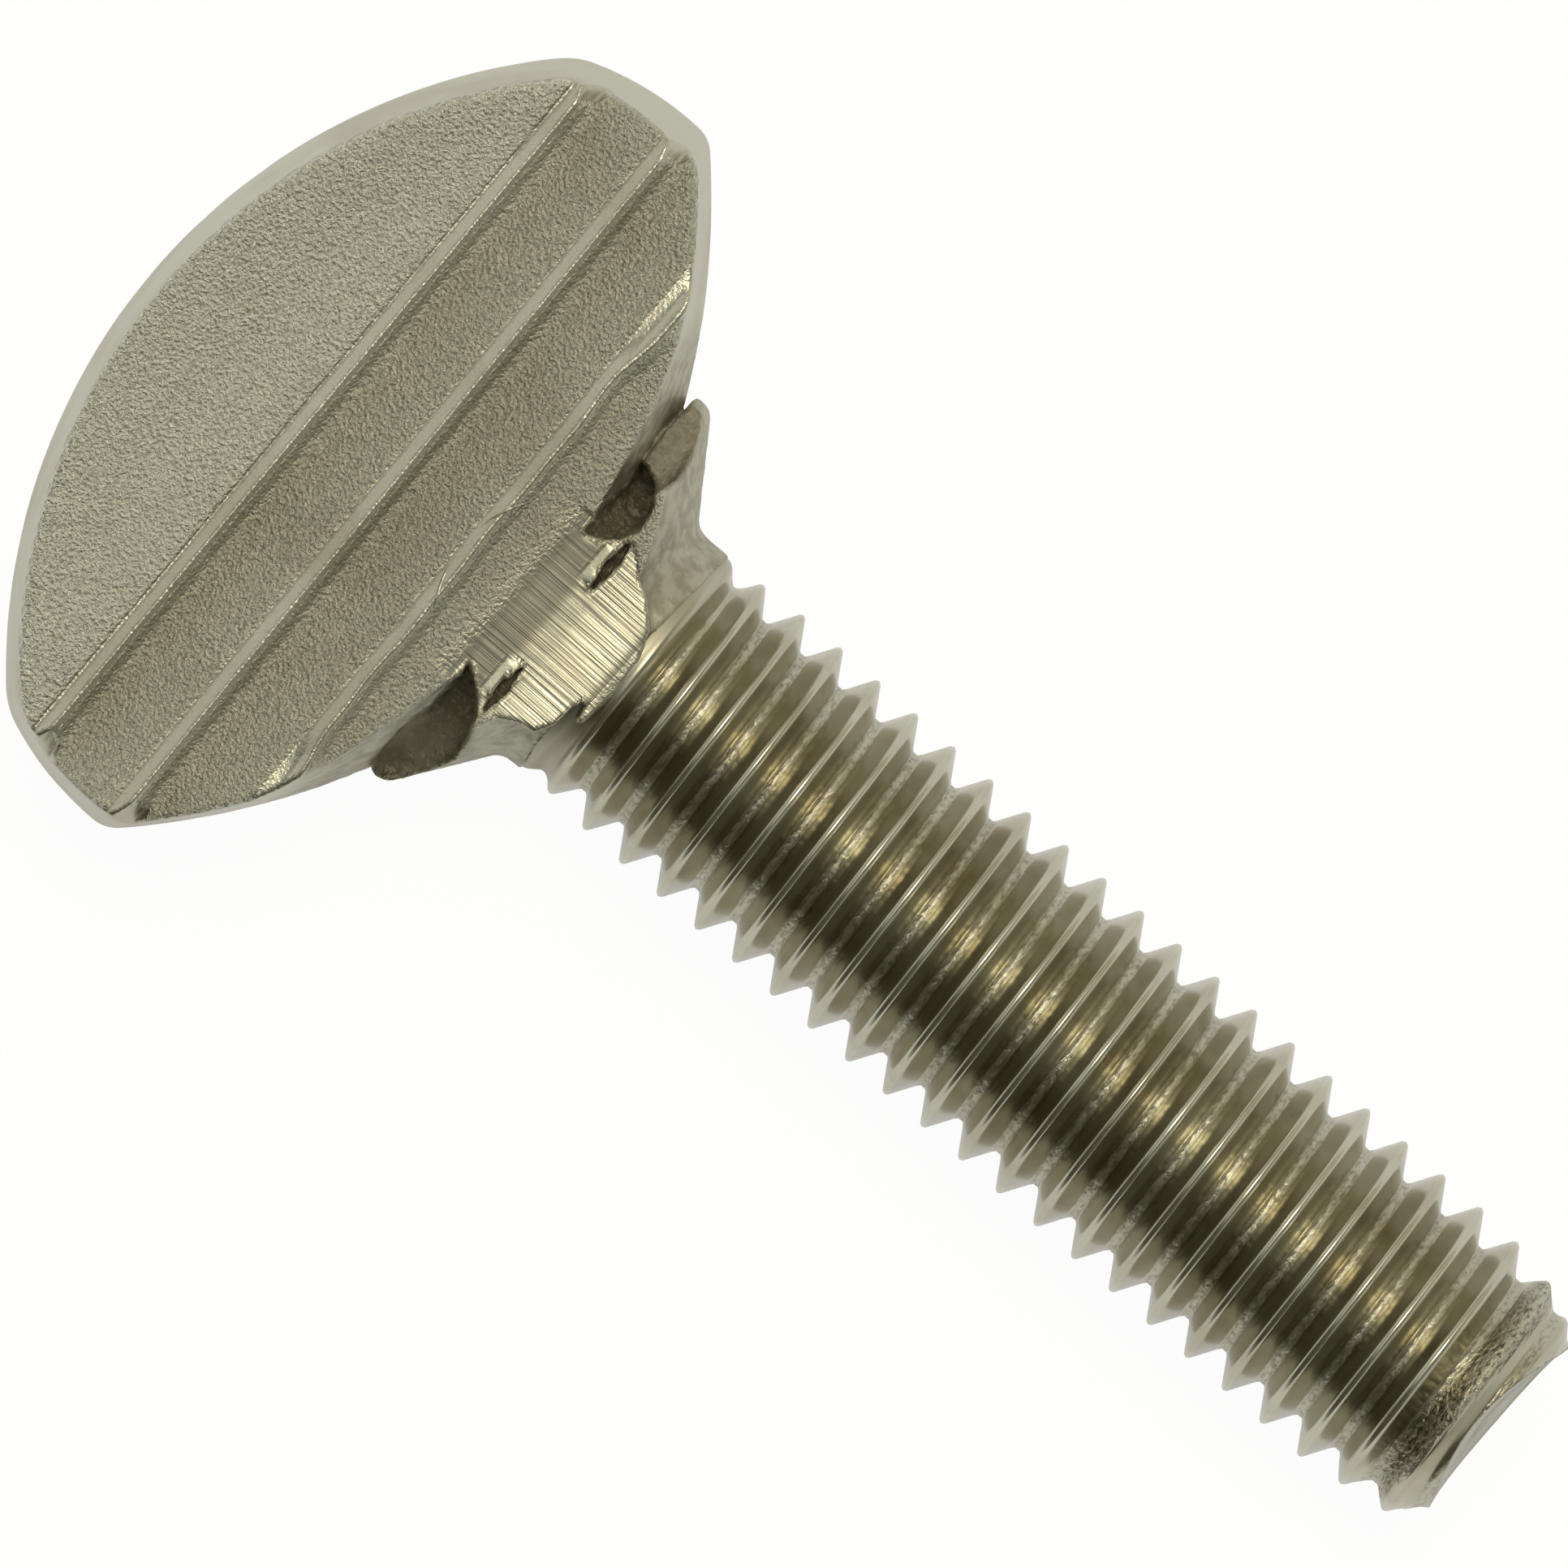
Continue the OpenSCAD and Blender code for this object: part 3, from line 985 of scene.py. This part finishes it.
def rolled_stainless():
    """Stainless steel, cold rolled into a thread: bright crest lines, flanks darkened by painted brown
    shade, rough roots.
    """
    finish = bpy.context.scene.screw_finish
    material = fresh("rolled_stainless")
    tree = material.node_tree
    new = partial(add, tree)
    lay = new("ShaderNodeUVMap", uv_map="lay")
    place = new("ShaderNodeTexCoord").outputs["Object"]
    groove, last_turn, end_face = (
        new("ShaderNodeAttribute", attribute_name=name).outputs["Fac"]
        for name in ("groove", "rough_turn", "end_face")
    )
    root = new(RANGE, groove, 0.86, 1.0, 0.0, 1.0)
    off_crest = new(RANGE, groove, 0.02, 0.2, 0.0, 1.0)
    flank = new(MATH, off_crest, new(MATH, 1.0, root, operation="SUBTRACT"), operation="MULTIPLY")
    worn = new(MATH, root, last_turn, operation="MAXIMUM")
    # The first turn is still as dull as the collar
    height_up = new("ShaderNodeSeparateXYZ", place).outputs[1]
    dull = new(RANGE, height_up, -0.0002, 0.0002, 0.0, 1.0)

    # Rolling lines, about 0.03 mm apart, run around with the thread
    lines = grains(tree, lay, 0.03, 2.0, (150.0, 1.0, 1.0))
    # The roots and the last turn are rough, with pits about 0.07 mm wide and painted shade in them
    pits = grains(tree, place, 0.07, 3.0, (2.0, 1.0, 2.0))
    clouds = grains(tree, place, 1.1, 3.0)

    bumps = weigh(tree, 0.0, (worn, 0.5), (last_turn, 0.9))
    height = weigh(tree, 0.0, (lines, 0.0000012), (pits, bumps, 0.000050))
    uneven = new(MATH, lines, 0.5, operation="SUBTRACT")
    roughness = weigh(
        tree, 0.19, (worn, 0.14), (flank, 0.02), (uneven, 0.10), (end_face, 0.20), (dull, 0.25)
    )
    # Clouds of stain, with painted brown shade on the flanks and a little in the roots
    stain_and_hollow_shade = weigh(tree, new(RANGE, clouds, 0.35, 0.7, 0.0, 0.25), (flank, 0.22), (root, 0.10))
    # How much painted shade darkens the pits at the roots and the last turn
    pit_shade = weigh(tree, 0.0, (worn, 0.4), (last_turn, 0.3))
    colour = layered(
        tree,
        tuple(finish.steel),
        (tuple(finish.stain_and_shade), stain_and_hollow_shade),
        # Painted shade: dark brown in the low points of the pits
        (srgb("#2c261b"), new(RANGE, pits, 0.56, 0.32, 0.0, 1.0), pit_shade),
        (srgb("#8f9089"), end_face, 0.35),
        (srgb("#8d897b"), dull, 0.40),
    )
    steel_shader(tree, colour, roughness, height)
    return material


# The stage

# The view looks down on the screw from a little towards +X, with the screw turned in the picture
VIEW_LEAN = math.radians(2.75)
VIEW_TURN = math.radians(41.13)
VIEW_AIM = Vector((0.218, -2.961, 0.0)) * MM
VIEW_DISTANCE = 0.9
VIEW_WIDTH = 0.02507
SENSOR = 36.0
# One soft lamp, high up on the +X side
KEY_PLACE = Vector((0.3, 0.09, 1.0))
KEY_SIZE = (0.45, 0.275)
KEY_WATTS = 2.45
FLOOR_HALF = 0.4
# How much of the floor's look is plain white, its strength, and its share in reflections
WHITE_SHARE = 0.92
WHITE_STRENGTH = 1.04
GLOSSY_SHARE = 0.6


def white_for_camera(tree, shader):
    """Mixes plain white over a shader where the camera, a reflection or a transmission looks at it.

    The white's share is under 1, so that the screw's shadow still shows a little.
    """
    path = add(tree, "ShaderNodeLightPath").outputs
    seen = add(tree, MATH, path["Is Camera Ray"], path["Is Transmission Ray"], operation="MAXIMUM")
    glossy = add(tree, MATH, path["Is Glossy Ray"], GLOSSY_SHARE, operation="MULTIPLY")
    share = product(tree, add(tree, MATH, seen, glossy, operation="MAXIMUM"), WHITE_SHARE)
    plain = add(tree, "ShaderNodeEmission", {"Color": (1, 1, 1, 1), "Strength": WHITE_STRENGTH})
    return add(tree, "ShaderNodeMixShader", share, shader, plain)


def lay_floor(scene):
    """Pale paper under the screw. The camera sees it almost white, with a faint shadow."""
    z = cad_low.z
    corners = [(x * FLOOR_HALF, y * FLOOR_HALF, z) for x, y in ((-1, -1), (1, -1), (1, 1), (-1, 1))]
    mesh = bpy.data.meshes.new("floor")
    mesh.from_pydata(corners, [], [(0, 1, 2, 3)])
    floor = bpy.data.objects.new("floor", mesh)
    scene.collection.objects.link(floor)
    paper = fresh("white_paper")
    tree = paper.node_tree
    matt = add(tree, "ShaderNodeBsdfDiffuse", {"Color": srgb("#f4f4f2")})
    add(tree, "ShaderNodeOutputMaterial", white_for_camera(tree, matt))
    mesh.materials.append(paper)


def light_room(scene):
    """The room that the steel mirrors. Its bands are told apart by the direction that they lie in."""
    world = bpy.data.worlds.new("studio")
    scene.world = world
    world.use_nodes = True
    tree = world.node_tree
    tree.nodes.clear()
    new = partial(add, tree)
    x, y, z = new("ShaderNodeSeparateXYZ", new("ShaderNodeTexCoord").outputs["Generated"]).outputs
    # Towards +X a bright band with a dimmer wall outside it, and towards -X a dark wall
    bright = new(RANGE, x, 0.34, 0.46, 0.0, 1.0)
    dim = new(RANGE, x, 0.60, 0.86, 0.0, 1.0)
    dark = new(RANGE, x, -0.14, -0.42, 0.0, 1.0)
    dark_end = new(RANGE, x, -1.02, -0.95, 0.0, 1.0)
    # Beyond the head's end the room is grey with pale light low down, and beyond the tip it is dim
    upper = new(RANGE, y, 0.40, 0.60, 0.0, 0.7)
    low_head = new(RANGE, y, 0.80, 0.93, 0.0, 1.0)
    tip_side = new(RANGE, y, -0.06, -0.34, 0.0, 0.9)
    tip_height = new(RANGE, z, 0.30, 0.70, 0.3, 1.0)
    colour = layered(
        tree,
        srgb("#d4d4c9"),
        (srgb("#fdf6e2"), bright),
        (srgb("#d2cbb6"), dim),
        (srgb("#504c41"), dark, dark_end),
        (srgb("#88867c"), upper),
        (srgb("#e0ded4"), low_head),
        (srgb("#6c6a60"), tip_side, tip_height),
    )
    new("ShaderNodeOutputWorld", new("ShaderNodeBackground", {"Color": colour, "Strength": 1.0}))


def hang_lamp(scene):
    """The soft key lamp, turned to the screw."""
    data = bpy.data.lights.new("key", "AREA")
    data.shape = "RECTANGLE"
    data.size, data.size_y = KEY_SIZE
    data.energy = KEY_WATTS
    data.color = srgb("#fff1d6")[:3]
    lamp = bpy.data.objects.new("key", data)
    scene.collection.objects.link(lamp)
    lamp.location = KEY_PLACE
    lamp.rotation_euler = (-KEY_PLACE).to_track_quat("-Z", "Y").to_euler()


def place_camera(scene):
    """The camera at the photograph's angle."""
    data = bpy.data.cameras.new("camera")
    data.sensor_width = SENSOR
    data.lens = SENSOR * VIEW_DISTANCE / VIEW_WIDTH
    data.clip_start = 0.01
    data.clip_end = 10.0
    camera = bpy.data.objects.new("camera", data)
    scene.collection.objects.link(camera)
    back = Vector((math.sin(VIEW_LEAN), 0.0, math.cos(VIEW_LEAN)))
    up = Vector((math.cos(VIEW_TURN), math.sin(VIEW_TURN), 0.0))
    up = (up - up.dot(back) * back).normalized()
    right = up.cross(back)
    turn = Matrix((right, up, back)).transposed().to_4x4()
    camera.matrix_world = Matrix.Translation(VIEW_AIM + back * VIEW_DISTANCE) @ turn
    scene.camera = camera


class SCREW_OT_set_stage(bpy.types.Operator):
    """Lays the pale floor and sets the studio light and the camera"""

    bl_idname = "screw.set_stage"
    bl_label = "Set the stage"

    def execute(self, context):
        lay_floor(context.scene)
        light_room(context.scene)
        hang_lamp(context.scene)
        place_camera(context.scene)
        context.scene.view_settings.view_transform = "Standard"
        return {"FINISHED"}


class SCREW_PT_panel(bpy.types.Panel):
    """The thumb screw's sizes, finishes and steps"""

    bl_label = "Thumb Screw"
    bl_idname = "SCREW_PT_panel"
    bl_space_type = "VIEW_3D"
    bl_region_type = "UI"
    bl_category = "Thumb Screw"

    def draw(self, context):
        layout = self.layout
        for group in (context.scene.screw_head, context.scene.screw_thread, context.scene.screw_finish):
            box = layout.box()
            for name in group.__annotations__:
                box.prop(group, name)
        for step in STEPS_IN_ORDER:
            layout.operator(step.bl_idname)


STEPS_IN_ORDER = (SCREW_OT_forge_head, SCREW_OT_roll_thread, SCREW_OT_set_stage)
CLASSES = (HeadSizes, ThreadSizes, Finish, *STEPS_IN_ORDER, SCREW_PT_panel)


def register():
    """Adds the classes and the scene's settings."""
    for cls in CLASSES:
        bpy.utils.register_class(cls)
    bpy.types.Scene.screw_head = PointerProperty(type=HeadSizes)
    bpy.types.Scene.screw_thread = PointerProperty(type=ThreadSizes)
    bpy.types.Scene.screw_finish = PointerProperty(type=Finish)


def unregister():
    """Removes the scene's settings and the classes."""
    del bpy.types.Scene.screw_finish
    del bpy.types.Scene.screw_thread
    del bpy.types.Scene.screw_head
    for cls in reversed(CLASSES):
        bpy.utils.unregister_class(cls)


def main():
    register()
    bpy.ops.screw.forge_head()
    bpy.ops.screw.roll_thread()
    bpy.ops.screw.set_stage()


if __name__ == "__main__":
    main()
